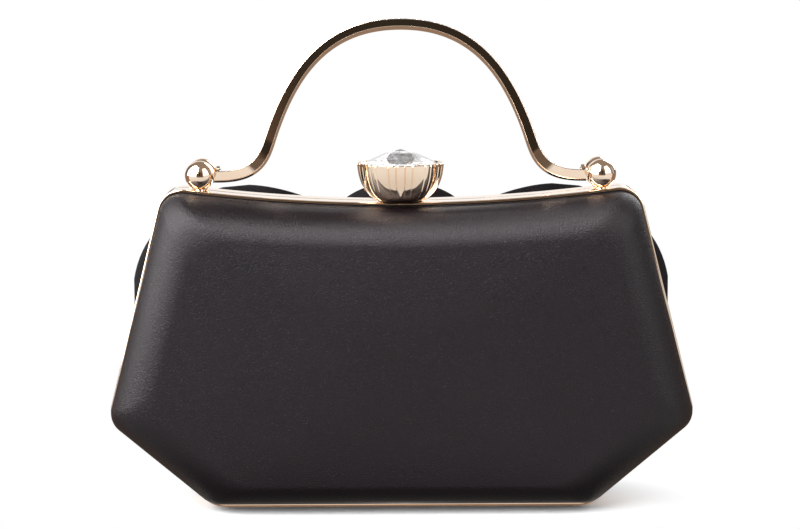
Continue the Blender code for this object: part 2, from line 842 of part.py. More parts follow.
def make_flower(parent, place):
    """Three rings of petals in a stack, and a covered button in their middle."""
    single = [
        ("top", math.pi / 2, top_petal_length, top_petal_half_width),
        ("base", -math.pi / 2, base_petal_length, base_petal_half_width),
    ]
    for label, angle, length, half_width in single:
        body = petal(angle, length, half_width, 1, outer_lift, side_petal_length)
        new_piece("petal_" + label, body, satin, parent, place, 40 * degree)
    paired = [
        ("shoulder", shoulder_petal_angle, shoulder_petal_length,
         shoulder_petal_half_width, 0, shoulder_petal_twist),
        ("side", side_petal_angle, side_petal_length, side_petal_half_width, 1,
         side_petal_twist),
        ("low", low_petal_angle, low_petal_length, low_petal_half_width, 0, 0.0),
    ]
    for label, angle, length, half_width, level, twist in paired:
        for hand, facing, turn in (("left", angle, twist), ("right", math.pi - angle, -twist)):
            body = petal(facing, length, half_width, level, outer_lift, side_petal_length, turn)
            name = "petal_%s_%s" % (label, hand)
            new_piece(name, body, satin, parent, place, 40 * degree)
    ringed = [
        ("middle", middle_petal_count, middle_petal_length, middle_petal_half_width,
         middle_lift, math.pi / middle_petal_count),
        ("inner", inner_petal_count, inner_petal_length, inner_petal_half_width,
         inner_lift, 0.0),
    ]
    for ring, (label, count, length, half_width, lift, turn) in enumerate(ringed, start=1):
        for index in range(count):
            angle = math.pi / 2 + turn + 2 * math.pi * index / count
            level = ring * levels_per_ring + index % levels_per_ring
            body = petal(angle, length, half_width, level, lift, length)
            new_piece("petal_%s_%d" % (label, index + 1), body, satin, parent, place, 40 * degree)
    inner_rise = inner_lift * (button_radius / inner_petal_length) ** 2
    stack = petal_ring_count * levels_per_ring * (petal_thickness + gap)
    stack_top = face_reach + gap + stack + inner_rise
    shank = petal_base_radius - gap
    profile = [(shank, face_reach + gap), (shank, stack_top)]
    profile += [
        (button_radius * out, stack_top + button_height * up)
        for out, up in button_profile_shares
    ]
    button = loft(turned(profile, button_sides))
    for vertex in button.verts:
        vertex.co = Vector((vertex.co.x, vertex.co.z, vertex.co.y + flower_height))
    new_piece("flower_button", button, satin, parent, place, 40 * degree)


for old in list(bpy.data.objects):
    bpy.data.objects.remove(old)

metal = new_material("rose_gold", (0.86, 0.56, 0.42), 0.12, 1.0)
steel = new_material("lock_steel", (0.62, 0.6, 0.58), 0.3, 1.0)
satin = new_material("black_satin", (0.03, 0.024, 0.028), 0.48, 0.0)
foam = new_material("padding_foam", (0.6, 0.58, 0.54), 0.9, 0.0)
board = new_material("moulded_board", (0.08, 0.08, 0.085), 0.6, 0.0)
lining_cloth = new_material("lining_cloth", (0.05, 0.04, 0.045), 0.8, 0.0)
crystal = new_material("clear_crystal", (0.95, 0.96, 0.98), 0.02, 0.0, 1.0)

bag = new_empty("bag", (0.0, parting_y, 0.0))
hinge_axis = new_empty("hinge_axis", (0.0, 0.0, hinge_height), bag)
from_hinge = (0.0, 0.0, -hinge_height)
clasp_axis = new_empty("clasp_axis", (0.0, clasp_y, roof_height), bag)
handle_axis = new_empty(
    "handle_axis", (0.0, ball_offset, ball_height - hinge_height), hinge_axis, -handle_lean,
)
here = (0.0, 0.0, 0.0)

plain_frame = half_frame("plain_frame", -1, bag, here)
flower_frame = half_frame("flower_frame", 1, hinge_axis, from_hinge)
half_layers("plain", -1, bag, here, lock_plate_width / 2 + lock_pocket_side)
half_layers("flower", 1, hinge_axis, from_hinge, strike_width / 2 + lock_pocket_side)
for sign, label in ((-1, "left"), (1, "right")):
    frame_ball("plain_ball_" + label, sign, -1, bag, here, False)
    frame_ball("pivot_ball_" + label, sign, 1, hinge_axis, from_hinge, True)
    for frame, side, place in ((plain_frame, -1, here), (flower_frame, 1, from_hinge)):
        drill_frame(frame, sign * ball_x, side * ball_offset, ball_neck_radius + gap, place)
    start = handle_end_x - eye_length + 2 * gap
    end = ball_x - ball_radius + pivot_pin_reach
    ends = sorted((sign * start, sign * end))
    pin_place = (0.0, ball_offset, ball_height - hinge_height)
    new_piece(
        "pivot_pin_" + label, rod(pivot_pin_radius, ends[0], ends[1], eye_sides, "X"),
        steel, hinge_axis, pin_place, 40 * degree,
    )

drill_frame(plain_frame, 0.0, clasp_y, stem_radius + gap, here)
cam_bottom = make_clasp(clasp_axis, bag, here)
lip_top = make_strike(hinge_axis, from_hinge, cam_bottom)
slot_half_width = tongue_width / 2 + 4 * gap
slot_low = roof_height - flange_reach - overrun
slot_high = lip_top + 3 * gap
for frame, place in ((plain_frame, here), (flower_frame, from_hinge)):
    cut_box(
        frame, (-slot_half_width, -layer_start, slot_low),
        (slot_half_width, layer_start, slot_high), place,
    )
make_hinge(bag, here, hinge_axis, from_hinge, bag, here)
make_handle(handle_axis)
make_stone_strip(handle_axis)
make_flower(hinge_axis, from_hinge)
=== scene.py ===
from math import atan2, cos, degrees, hypot, pi, radians, sin, tan
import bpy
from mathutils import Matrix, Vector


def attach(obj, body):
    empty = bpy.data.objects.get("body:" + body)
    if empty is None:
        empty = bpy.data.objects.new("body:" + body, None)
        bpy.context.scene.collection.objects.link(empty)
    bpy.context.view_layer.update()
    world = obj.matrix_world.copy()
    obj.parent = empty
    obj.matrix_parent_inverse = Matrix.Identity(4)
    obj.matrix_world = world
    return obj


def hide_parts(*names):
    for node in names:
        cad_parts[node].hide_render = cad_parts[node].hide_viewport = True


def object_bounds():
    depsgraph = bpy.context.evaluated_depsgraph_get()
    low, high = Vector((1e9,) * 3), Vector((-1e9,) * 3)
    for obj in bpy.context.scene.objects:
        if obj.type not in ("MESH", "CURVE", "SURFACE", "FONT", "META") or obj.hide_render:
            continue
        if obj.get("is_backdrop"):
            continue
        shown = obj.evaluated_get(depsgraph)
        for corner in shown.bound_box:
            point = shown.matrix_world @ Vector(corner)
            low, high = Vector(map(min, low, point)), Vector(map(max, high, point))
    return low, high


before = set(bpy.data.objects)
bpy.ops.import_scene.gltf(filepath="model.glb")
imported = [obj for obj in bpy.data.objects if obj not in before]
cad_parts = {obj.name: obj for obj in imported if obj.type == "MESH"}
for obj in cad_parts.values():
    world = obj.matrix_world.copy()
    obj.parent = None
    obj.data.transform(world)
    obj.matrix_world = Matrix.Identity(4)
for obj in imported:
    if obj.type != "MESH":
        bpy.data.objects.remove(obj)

from types import SimpleNamespace as Values

import bmesh
import bpy
from mathutils import Matrix, Vector

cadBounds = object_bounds()
mm = 0.001
partingY = 5.4 * mm
halves = ((-1, "plain", "plain_half"), (1, "flower", "flower_half"))
print("frame loaded")

# The bag's outline, the same as the solid model's
bagShape = Values(bottomHalfWidth=68.4 * mm, waistHalfWidth=106.5 * mm, waistHeight=32.0 * mm,
                  topHalfWidth=85.2 * mm, topCorner=117.1 * mm, topDip=6.1 * mm, topRound=10.5 * mm,
                  waistRound=9.0 * mm, bottomRound=11.0 * mm, cornerSteps=12, topSteps=36, frameDepth=9.0 * mm)


def deselect():
    if bpy.context.object and bpy.context.object.mode != "OBJECT":
        bpy.ops.object.mode_set(mode="OBJECT")
    bpy.ops.object.select_all(action="DESELECT")


def pick(piece):
    deselect()
    piece.select_set(True)
    bpy.context.view_layer.objects.active = piece


def startRing(name, points):
    deselect()
    bpy.ops.mesh.primitive_circle_add(vertices=len(points), radius=10 * mm)
    piece = bpy.context.object
    piece.name = name
    piece.data.name = name
    order = piece.data.attributes.new("order", "INT", "POINT")   # survives each extrude
    for index, point in enumerate(points):
        piece.data.vertices[index].co = point
        order.data[index].value = index
    bpy.ops.object.mode_set(mode="EDIT")
    bpy.ops.mesh.select_mode(type="VERT")
    bpy.ops.mesh.select_all(action="SELECT")
    return piece


def moveRing(piece, points):
    # what the last extrude left selected goes to its place
    shape = bmesh.from_edit_mesh(piece.data)
    order = shape.verts.layers.int["order"]
    for vertex in shape.verts:
        if vertex.select:
            vertex.co = points[vertex[order]]
    bmesh.update_edit_mesh(piece.data)


def ringPiece(name, rings, ends="cap", smooth=35):
    # a body that grows ring by ring; ends are cap, point or loop
    piece = startRing(name, rings[0])
    extrude = bpy.ops.mesh.extrude_edges_move
    if ends == "cap":
        bpy.ops.mesh.edge_face_add()
        bpy.ops.mesh.select_all(action="SELECT")
        extrude = bpy.ops.mesh.extrude_region_move
    for ring in rings[1:]:
        extrude()
        moveRing(piece, ring)
    if ends == "point":
        bpy.ops.mesh.edge_face_add()
        bpy.ops.mesh.poke()
    if ends == "loop":
        shape = bmesh.from_edit_mesh(piece.data)
        order = shape.verts.layers.int["order"]
        for vertex in shape.verts:
            spot = vertex[order]
            atEnd = min((vertex.co - Vector(rings[0][spot])).length,
                        (vertex.co - Vector(rings[-1][spot])).length)
            vertex.select_set(atEnd < 0.001 * mm)
        for edge in shape.edges:
            edge.select_set(edge.verts[0].select and edge.verts[1].select and edge.is_boundary)
        bmesh.update_edit_mesh(piece.data)
        bpy.ops.mesh.bridge_edge_loops()
    return closeUp(piece, smooth)


def closeUp(piece, smooth=35):
    pick(piece)
    bpy.ops.object.mode_set(mode="EDIT")
    bpy.ops.mesh.select_all(action="SELECT")
    bpy.ops.mesh.remove_doubles(threshold=0.001 * mm)
    bpy.ops.mesh.normals_make_consistent(inside=False)
    bpy.ops.object.mode_set(mode="OBJECT")
    if "order" in piece.data.attributes:
        piece.data.attributes.remove(piece.data.attributes["order"])
    bpy.ops.object.shade_smooth_by_angle(angle=radians(smooth))
    return piece


def finishModifier(piece, kind, **settings):
    pick(piece)
    modifier = piece.modifiers.new(kind.lower(), kind)
    for key, value in settings.items():
        setattr(modifier, key, value)
    bpy.ops.object.modifier_apply(modifier=modifier.name)


def cutWith(piece, tool, operation="DIFFERENCE"):
    finishModifier(piece, "BOOLEAN", object=tool, operation=operation, solver="EXACT")
    bpy.data.objects.remove(tool)


def cutBox(piece, low, high):
    deselect()
    middle = [(a + b) / 2 for a, b in zip(low, high)]
    bpy.ops.mesh.primitive_cube_add(size=1, location=middle)
    tool = bpy.context.object
    tool.scale = [b - a for a, b in zip(low, high)]
    bpy.ops.object.transform_apply(location=True, rotation=True, scale=True)
    cutWith(piece, tool)


def addRod(radius, start, end, sides=48):
    deselect()
    start, end = Vector(start), Vector(end)
    bpy.ops.mesh.primitive_cylinder_add(
        vertices=sides, radius=radius, depth=(end - start).length, location=(start + end) / 2,
        rotation=(end - start).to_track_quat("Z", "Y").to_euler(),
    )
    tool = bpy.context.object
    bpy.ops.object.transform_apply(location=True, rotation=True, scale=True)
    return tool


def circle(radius, sides, shift=0.0):
    turns = [2 * pi * index / sides + shift for index in range(sides)]
    return [(radius * cos(turn), radius * sin(turn)) for turn in turns]


# Materials

class Wire:
    def __init__(self, recipe, socket):
        self.recipe = recipe
        self.socket = socket

    def calc(self, operation, other, turned=False):
        pair = [other, self] if turned else [self, other]
        return self.recipe.node("Math", {"operation": operation}, {0: pair[0], 1: pair[1]})

    def __add__(self, other):
        return self.calc("ADD", other)

    def __sub__(self, other):
        return self.calc("SUBTRACT", other)

    def __rsub__(self, other):
        return self.calc("SUBTRACT", other, True)

    def __mul__(self, other):
        return self.calc("MULTIPLY", other)

    __radd__, __rmul__ = __add__, __mul__


class Recipe:
    def __init__(self, name, tree=None):
        if tree is None:
            self.material = bpy.data.materials.new(name)
            self.material.use_nodes = True
            tree = self.material.node_tree
            self.shader = tree.nodes["Principled BSDF"]
        self.tree = tree

    def node(self, kind, settings=None, values=None, out=0):
        made = self.tree.nodes.new("ShaderNode" + kind)
        for key, value in (settings or {}).items():
            if key == "stops":
                for index, (place, colour) in enumerate(value):
                    ramp = made.color_ramp.elements
                    stop = ramp[index] if index < 2 else ramp.new(place)
                    stop.position = place
                    stop.color = colour if len(colour) == 4 else (*colour, 1)
            else:
                setattr(made, key, value)
        for key, value in (values or {}).items():
            if isinstance(value, Wire):
                self.tree.links.new(value.socket, made.inputs[key])
            else:
                made.inputs[key].default_value = value
        return Wire(self, made.outputs[out])

    def outputs(self, kind, names, values=None):
        made = self.node(kind, None, values).socket.node
        return [Wire(self, made.outputs[name]) for name in names]

    def place(self, scale=(1, 1, 1)):
        spot = self.node("TexCoord", out="Object")
        return self.node("Mapping", None, {"Vector": spot, "Scale": scale})

    def noise(self, vector, scale, detail=2.0, roughness=0.5):
        return self.node("TexNoise", None, {
            "Vector": vector, "Scale": scale, "Detail": detail, "Roughness": roughness})

    def mix(self, factor, first, second):
        return self.node("Mix", {"data_type": "RGBA"}, {0: factor, 6: first, 7: second}, out=2)

    def ramp(self, factor, stops):
        return self.node("ValToRGB", {"stops": stops}, {0: factor})

    def span(self, value, fromLow, fromHigh, toLow, toHigh):
        return self.node("MapRange", None, {
            "Value": value, "From Min": fromLow, "From Max": fromHigh, "To Min": toLow, "To Max": toHigh})

    def give(self, **values):
        for key, value in values.items():
            socket = self.shader.inputs[key.replace("_", " ")]
            if isinstance(value, Wire):
                self.tree.links.new(value.socket, socket)
            else:
                socket.default_value = value

    def bump(self, height, strength, distance):
        self.give(Normal=self.node("Bump", None, {
            "Height": height, "Strength": strength, "Distance": distance}))


metalLook = Values(base=(0.95, 0.78, 0.62, 1), deep=(0.91, 0.71, 0.54, 1), roughness=0.04, patches=60, specks=1800,
                   relief=0.1 * mm)


def makeMetal(name, wear=0.0):
    look = Recipe(name)
    spot = look.place()
    cloud = look.noise(spot, metalLook.patches, 3)
    fine = look.noise(spot, metalLook.specks, 2)
    look.give(
        Base_Color=look.mix(look.span(cloud, 0.35, 0.65, 0, 1), metalLook.base, metalLook.deep),
        Roughness=look.span(fine, 0.3, 0.7, metalLook.roughness + wear, metalLook.roughness + 0.03 + wear),
        Metallic=1.0,
    )
    look.bump(cloud, 0.05, metalLook.relief)
    return look.material


def makeGrained(name, tones, grain, roughness, metallic=0.0, relief=None):
    # one noise gives colour and roughness; grain is its stretch, scale and detail
    look = Recipe(name)
    stretch, *grain = grain
    noise = look.noise(look.place(stretch), *grain)
    if type(metallic) is tuple:
        metallic = look.span(noise, 0.3, 0.7, *metallic)
    look.give(Base_Color=look.mix(noise, *tones), Roughness=look.span(noise, 0.3, 0.7, *roughness), Metallic=metallic)
    if relief:
        look.bump(noise, *relief)
    return look.material


satinLook = Values(base=(0.0056, 0.0038, 0.0053, 1), deep=(0.0032, 0.0018, 0.0030, 1), roughness=0.32, stretch=0.86,
                   specular=0.39, tint=(1, 0.95, 0.985, 1), grain=2100, patches=22, relief=0.19 * mm)


def makeSatin(name):
    look = Recipe(name)
    grain = look.noise(look.place(), satinLook.grain, 1.5, 0.6)
    cloud = look.noise(look.place(), satinLook.patches, 3)
    tone = look.span(cloud, 0.35, 0.65, 0.3, 0.8) * look.span(grain, 0.3, 0.7, 0.75, 1.2)
    look.give(
        Base_Color=look.mix(tone, satinLook.deep, satinLook.base),
        Roughness=look.span(grain, 0.32, 0.68, satinLook.roughness - 0.06, satinLook.roughness + 0.08),
        Specular_IOR_Level=satinLook.specular, Specular_Tint=satinLook.tint,
        Anisotropic=satinLook.stretch,
    )
    look.bump(grain, 1.0, satinLook.relief)
    return look.material


petalLook = Values(pleats=(34, 1.4, 1), grain=1900, roughness=(0.42, 0.56), specular=0.25, relief=0.35 * mm)


def makePetalSatin(name):
    look = Recipe(name)
    flat = look.node("UVMap", {"uv_map": "UVMap"})
    stretch = look.node("Mapping", None, {"Vector": flat, "Scale": petalLook.pleats})
    pleat = look.noise(stretch, 1.0, 3, 0.6)   # soft folds that run from base to tip
    grain = look.noise(look.place(), petalLook.grain, 2, 0.6)
    look.give(
        Base_Color=look.mix(look.span(pleat, 0.3, 0.7, 0.15, 0.9), satinLook.deep, satinLook.base),
        Roughness=look.span(grain, 0.3, 0.7, *petalLook.roughness),
        Specular_IOR_Level=petalLook.specular,
    )
    look.bump(pleat * 0.8 + grain * 0.1, 0.5, petalLook.relief)
    return look.material


liningLook = Values(deep=(0.028, 0.022, 0.026, 1), base=(0.06, 0.048, 0.055, 1), threads=500, roughness=(0.6, 0.8),
                    sheen=0.2, relief=0.1 * mm)


def makeLining(name):
    look = Recipe(name)
    across, along = (look.node("TexWave", {"wave_type": "BANDS", "bands_direction": way}, {
        "Vector": look.place(), "Scale": liningLook.threads, "Distortion": 0.4}) for way in "XZ")
    weave = across * 0.5 + along * 0.5
    look.give(
        Base_Color=look.mix(weave, liningLook.deep, liningLook.base),
        Roughness=look.span(weave, 0, 1, *liningLook.roughness),
        Sheen_Weight=liningLook.sheen,
    )
    look.bump(weave, 0.4, liningLook.relief)
    return look.material


glassLook = Values(haze=420, hazeTone=(0.7, 1.25), roughness=0.02, clearness=0.6, refraction=1.62)


def makeGlass(name):
    # each facet's painted brightness lies between black and white: a painted glint on most facets, a painted dark
    # reflection on the broad facets and the point
    look = Recipe(name)
    haze = look.noise(look.place(), glassLook.haze, 3, 0.6)
    tone = look.node("Attribute", {"attribute_name": "paintedFacetLight"}, out="Fac")
    tone = tone * look.span(haze, 0.38, 0.62, *glassLook.hazeTone)
    look.give(
        Base_Color=look.mix(tone, (0, 0, 0, 1), (1, 1, 1, 1)),
        Roughness=look.span(haze, 0.3, 0.7, 0, glassLook.roughness),
        Transmission_Weight=glassLook.clearness, IOR=glassLook.refraction,
    )
    return look.material


even, bright = (1, 1, 1), (0.95, 0.95, 0.97, 1)
foilLook = {"grain": (even, 700, 2), "roughness": (0.03, 0.1), "metallic": (0.85, 1.0)}
roseGold = makeMetal("roseGold")
hingeGold = makeMetal("hingeGold", 0.12)
lockSteel = makeGrained("lockSteel", ((0.5, 0.49, 0.47, 1), (0.66, 0.64, 0.62, 1)), grain=((40, 1600, 1600), 1.0, 3),
                        roughness=(0.22, 0.4), metallic=1.0, relief=(0.15, 0.05 * mm))
blackSatin = makeSatin("blackSatin")
petalSatin = makePetalSatin("petalSatin")
liningCloth = makeLining("liningCloth")
mouldedBoard = makeGrained("mouldedBoard", ((0.055, 0.055, 0.06, 1), (0.085, 0.085, 0.09, 1)), grain=(even, 900, 3),
                           roughness=(0.5, 0.7), relief=(0.2, 0.05 * mm))
cutGlass = makeGlass("cutGlass")
stoneFoil = makeGrained("stoneFoil", ((0.86, 0.87, 0.9, 1), bright), **foilLook)
smallStone = makeGrained("smallStone", ((0.78, 0.8, 0.84, 1), bright), **foilLook)
print("materials made")


def dress(piece, material):
    piece.data.materials.clear()
    piece.data.materials.append(material)


def dressNode(node, material):
    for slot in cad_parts[node].material_slots:
        slot.material = material


for node in ("plain_hinge_leaf", "flower_hinge_leaf", "hinge_pin"):
    dressNode(node, hingeGold)
for node in ("pivot_pin_left", "pivot_pin_right", "clasp_stem", "clasp_cam", "clasp_washer",
             "lock_plate", "strike_tongue"):
    dressNode(node, lockSteel)
for node in ("plain_shell", "flower_shell"):
    dressNode(node, mouldedBoard)


# Covers and linings

coverShape = Values(
    inset=1.5 * mm, bottomInset=1.7 * mm,   # from the frame's rim, along the top and the bottom
    # the cover comes this much closer to the rim along the lower bevels, at the waist corners and up the sides
    bevelShift=0.95 * mm, waistShift=1.2 * mm, sideShift=0.3 * mm,
    rollStart=9.3 * mm, rollSteps=30, rise=17.0 * mm, rollWidth=15.2 * mm, bottomRoll=10.0 * mm,
    cornerGrowth=3.0 * mm, crown=1.2 * mm, crownShares=(0.97, 0.93, 0.87, 0.8, 0.7, 0.58, 0.45, 0.3, 0.15, 0.05),
    faceMiddle=60.0 * mm, thick=1.2 * mm, leastRound=0.3 * mm,
    lipWidth=0.55 * mm, lipBack=0.9 * mm, lipFront=0.8 * mm)   # hidden behind the frame's wall
linerShape = Values(depth=5.4 * mm, start=1.65 * mm, rollSteps=14, floorShares=(0.9, 0.7, 0.4, 0.15), thick=0.5 * mm,
                    lockHalf=9.5 * mm, lockDepth=30 * mm, lockHeights=(97.2 * mm, 120 * mm))


def insetCorner(before, corner, after, insetIn, insetOut):
    wayIn = (corner - before).normalized()
    wayOut = (after - corner).normalized()
    startIn = corner + Vector((-wayIn.y, wayIn.x)) * insetIn
    startOut = corner + Vector((-wayOut.y, wayOut.x)) * insetOut
    across = wayIn.x * wayOut.y - wayIn.y * wayOut.x
    between = startOut - startIn
    return startIn + wayIn * ((between.x * wayOut.y - between.y * wayOut.x) / across)


def dipped(x, z):
    share = min(max((z - bagShape.waistHeight) / (bagShape.topCorner - bagShape.waistHeight), 0), 1)
    return z - share * bagShape.topDip * (1 - (x / bagShape.topHalfWidth) ** 2)


def outline(inset, bottomInset=None, growth=0.0, widen=0.0):
    # the rim moved inwards, with more room at the rounds; widen is the share of the cover's shifts
    bottomInset = inset if bottomInset is None else bottomInset
    bag, shape = bagShape, coverShape
    low, waist, top = bag.bottomHalfWidth, bag.waistHalfWidth, bag.topHalfWidth
    high, middle = bag.topCorner, bag.waistHeight
    corners = [Vector(c) for c in (
        (-low, 0), (low, 0), (waist, middle), (top, high), (-top, high), (-waist, middle))]
    bevel, waistInset, side = [inset - shift * widen for shift in (
        shape.bevelShift, shape.waistShift, shape.sideShift)]
    # of the edges before and after each corner
    insets = [(bevel, bottomInset), (bottomInset, bevel), (bevel, waistInset), (side, inset), (inset, side),
              (waistInset, bevel)]
    lowRound, midRound, topRound = bag.bottomRound, bag.waistRound, bag.topRound
    rounds = (lowRound, lowRound, midRound, topRound, topRound, midRound)
    moved = [insetCorner(corners[i - 1], corners[i], corners[(i + 1) % 6], *insets[i]) for i in range(6)]
    points = []
    for index, corner in enumerate(moved):
        wayIn = (corner - moved[index - 1]).normalized()
        wayOut = (moved[(index + 1) % 6] - corner).normalized()
        turn = wayIn.angle(wayOut)
        radius = max(rounds[index] - inset, shape.leastRound) + growth
        reach = radius * tan(turn / 2)
        centre = corner - wayIn * reach + Vector((-wayIn.y, wayIn.x)) * radius
        first = atan2(-wayIn.x, wayIn.y)
        for step in range(bag.cornerSteps + 1):
            angle = first + turn * step / bag.cornerSteps
            points.append(centre + radius * Vector((cos(angle), sin(angle))))
        if index == 3:
            start = points[-1]
            end = moved[4] + Vector((reach, 0))
            for step in range(1, bag.topSteps):
                points.append(start.lerp(end, step / bag.topSteps))
    return [(point.x, dipped(point.x, point.y)) for point in points]


def shellRing(side, depth, angle, extra=0.0, forward=0.0):
    # one ring of the roll, from the rim at angle 0 to the face at a right angle
    shape = coverShape
    share = 1 - cos(angle)
    inset = shape.inset + depth + shape.rollWidth * share + extra
    bottomInset = shape.bottomInset + depth + shape.bottomRoll * share + extra
    growth = (shape.cornerGrowth + shape.rollWidth) * share
    y = shape.rollStart + (shape.rise - depth) * sin(angle) + forward
    points = outline(inset, bottomInset, growth, 1 - share + min(extra, 0) / shape.bevelShift)
    return [(x, partingY + side * y, z) for x, z in points]


def shrunk(ring, share, raised=0.0):
    middle = coverShape.faceMiddle
    return [(x * share, y + raised, middle + (z - middle) * share) for x, y, z in ring]


def makeCover(name, side):
    # the satin starts at the frame's wall and steps in, which leaves a dark line along the frame
    shape = coverShape
    rings = [shellRing(side, 0, 0, -shape.lipWidth, -shape.lipBack),
             shellRing(side, 0, 0, 0, -shape.lipFront)]
    rings += [shellRing(side, 0, pi / 2 * step / shape.rollSteps) for step in range(shape.rollSteps + 1)]
    rings += [shrunk(shellRing(side, 0, pi / 2), share, side * shape.crown * (1 - share * share))
              for share in shape.crownShares]
    cover = ringPiece(name, rings, "point", 60)
    finishModifier(cover, "SOLIDIFY", thickness=shape.thick, offset=-1)
    dress(cover, blackSatin)
    return cover


def makeLiner(name, side):
    shape = linerShape
    angles = [pi / 2 * step / shape.rollSteps for step in range(shape.rollSteps + 1)]
    start = [(x, partingY + side * shape.start, z) for x, y, z in shellRing(side, shape.depth, 0)]
    rings = [start] + [shellRing(side, shape.depth, angle) for angle in angles]
    rings += [shrunk(rings[-1], share) for share in shape.floorShares]
    liner = ringPiece(name, rings, "point", 60)
    finishModifier(liner, "SOLIDIFY", thickness=shape.thick, offset=1)
    low, high = shape.lockHeights   # a gap for the lock
    cutBox(liner, (-shape.lockHalf, partingY - shape.lockDepth, low),
           (shape.lockHalf, partingY + shape.lockDepth, high))
    dress(liner, liningCloth)
    return liner


for side, prefix, body in halves:
    cover = makeCover(prefix + "CoverSatin", side)
    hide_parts(prefix + "_cover", prefix + "_padding")
    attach(cover, body)
    liner = makeLiner(prefix + "LiningCloth", side)
    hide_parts(prefix + "_lining")
    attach(liner, body)
print("covers and linings made")


# Half-frames

frameShape = Values(wall=0.9 * mm, edgeRound=0.5 * mm, flangeReach=6.6 * mm, flange=1.2 * mm, partingGap=0.15 * mm,
                    support=0.08 * mm, roundSteps=5, ballX=72 * mm, ballY=5.5 * mm, neckHole=1.9 * mm,
                    claspY=-4.5 * mm, stemHole=1.5 * mm)
# half width, half depth, lowest and highest point of what is cut at the parting
frameCuts = {"hinge": (58.6 * mm, 1.8 * mm, -1 * mm, 6.9 * mm), "hingeEnds": (72 * mm, 1.8 * mm, -1 * mm, 3 * mm),
             "tongue": (5.2 * mm, 1.65 * mm, 103.4 * mm, 107.9 * mm)}


def makeFrame(name, side):
    shape = frameShape
    near, far, bend, support = shape.partingGap, bagShape.frameDepth, shape.edgeRound, shape.support
    wall, flange, reach = shape.wall, shape.partingGap + shape.flange, shape.flangeReach
    turns = [pi / 2 * step / shape.roundSteps for step in range(shape.roundSteps + 1)]
    section = [(bend * (1 - sin(turn)), far - bend * (1 - cos(turn))) for turn in turns]
    section += [(0, far - bend - support), (0, near + bend + support)]
    section += [(bend * (1 - cos(turn)), near + bend * (1 - sin(turn))) for turn in turns]
    section += [(bend + support, near), (reach, near), (reach, flange), (wall, flange), (wall, far),
                (bend + support, far)]
    rings = [[(x, partingY + side * y, z) for x, z in outline(inset)] for inset, y in section]
    piece = ringPiece(name, rings, "loop", 40)
    for half, depth, low, high in frameCuts.values():
        cutBox(piece, (-half, partingY - depth, low), (half, partingY + depth, high))
    for x in (-shape.ballX, shape.ballX):
        y = partingY + side * shape.ballY
        cutWith(piece, addRod(shape.neckHole, (x, y, 108 * mm), (x, y, 120 * mm)))
    if side < 0:
        y = partingY + shape.claspY
        cutWith(piece, addRod(shape.stemHole, (0, y, 107 * mm), (0, y, 115 * mm)))
    return closeUp(piece, 40)


for side, prefix, body in halves:
    piece = makeFrame(prefix + "FrameBand", side)
    dress(piece, roseGold)
    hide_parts(prefix + "_frame")
    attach(piece, body)
print("half-frames made")


# Balls

ballShape = Values(radius=5.3 * mm, sink=0.3 * mm, height=121.1 * mm, neck=1.6 * mm, foot=1.7 * mm,
                   footLift=0.3 * mm, collar=0.2 * mm, collarHeight=0.25 * mm, neckLength=2.0 * mm, top=0.2 * mm,
                   pinBore=1.4 * mm, boreDepth=4.3 * mm, arcs=40, sides=64)


def makeBall(name, sign, side, bored):
    shape = ballShape
    x, y, z = sign * frameShape.ballX, partingY + side * frameShape.ballY, shape.height - shape.sink
    radius = shape.radius
    roof = dipped(frameShape.ballX, bagShape.topCorner)
    profile = [(shape.top, radius)]
    for step in range(1, shape.arcs):
        angle = pi / 2 - pi * step / shape.arcs
        if radius * cos(angle) < shape.foot and angle < 0:
            break
        profile.append((radius * cos(angle), radius * sin(angle)))
    foot = roof - z + shape.footLift
    under = foot - shape.collarHeight
    profile += [(shape.foot + 0.05 * mm, foot + 0.1 * mm), (shape.foot + shape.collar, under),
                (shape.neck, under), (shape.neck, foot - shape.neckLength)]
    rings = [[(x + u, y + v, z + height) for u, v in circle(reach, shape.sides)] for reach, height in profile]
    ball = ringPiece(name, rings, "cap", 50)
    if bored:
        start = x - sign * (radius + 1 * mm)
        end = x - sign * (radius - shape.boreDepth)
        cutWith(ball, addRod(shape.pinBore, (start, y, z), (end, y, z)))
    return closeUp(ball, 50)


for sign, hand in ((-1, "left"), (1, "right")):
    for side, prefix, body in ((-1, "plain", "plain_half"), (1, "pivot", "flower_half")):
        ball = makeBall(prefix + "Ball" + hand.title(), sign, side, side > 0)
        dress(ball, roseGold)
        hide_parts(prefix + "_ball_" + hand)
        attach(ball, body)
print("balls made")


# Handle

handleShape = Values(lean=radians(9.5), depth=9.5 * mm, endThick=3.5 * mm, topThick=2.75 * mm, edge=0.22 * mm,
                     rise=53.6 * mm, bendX=46.5 * mm, bendHeight=14.0 * mm, slope=radians(71), endX=66.35 * mm,
                     endDrop=1.9 * mm, pulls=(25, 26, 8, 16), archSteps=64, footSteps=32, support=0.06 * mm,
                     curveEnd=0.15 * mm, eyeRadius=2.2 * mm, eyeLength=1.0 * mm, eyeStand=0.4 * mm, eyeBore=0.9 * mm,
                     tipX=68.6 * mm, tipHollow=5.8 * mm, draft=0.26, draftFoot=-1 * mm, draftTop=13.0 * mm,
                     groove=3.5 * mm, grooveDepth=0.45 * mm)
railShape = Values(gap=0.06 * mm, lift=0.03 * mm, drop=0.08 * mm)
# a stone's profile is its pavilion, girdle and table, as shares of the radius
stoneShape = Values(radius=1.0 * mm, pitch=2.12 * mm, rows=(-2.2 * mm, 0.0, 2.2 * mm), stop=7.0 * mm,
                    stand=-0.1 * mm, turn=0.35, sides=8, profile=((0.5, -0.3), (1.0, 0.0), (1.0, 0.08), (0.6, 0.45)))


def curvePoint(start, pullStart, pullEnd, end, share):
    rest = 1 - share
    return (start * rest ** 3 + pullStart * 3 * rest ** 2 * share
            + pullEnd * 3 * rest * share ** 2 + end * share ** 3)


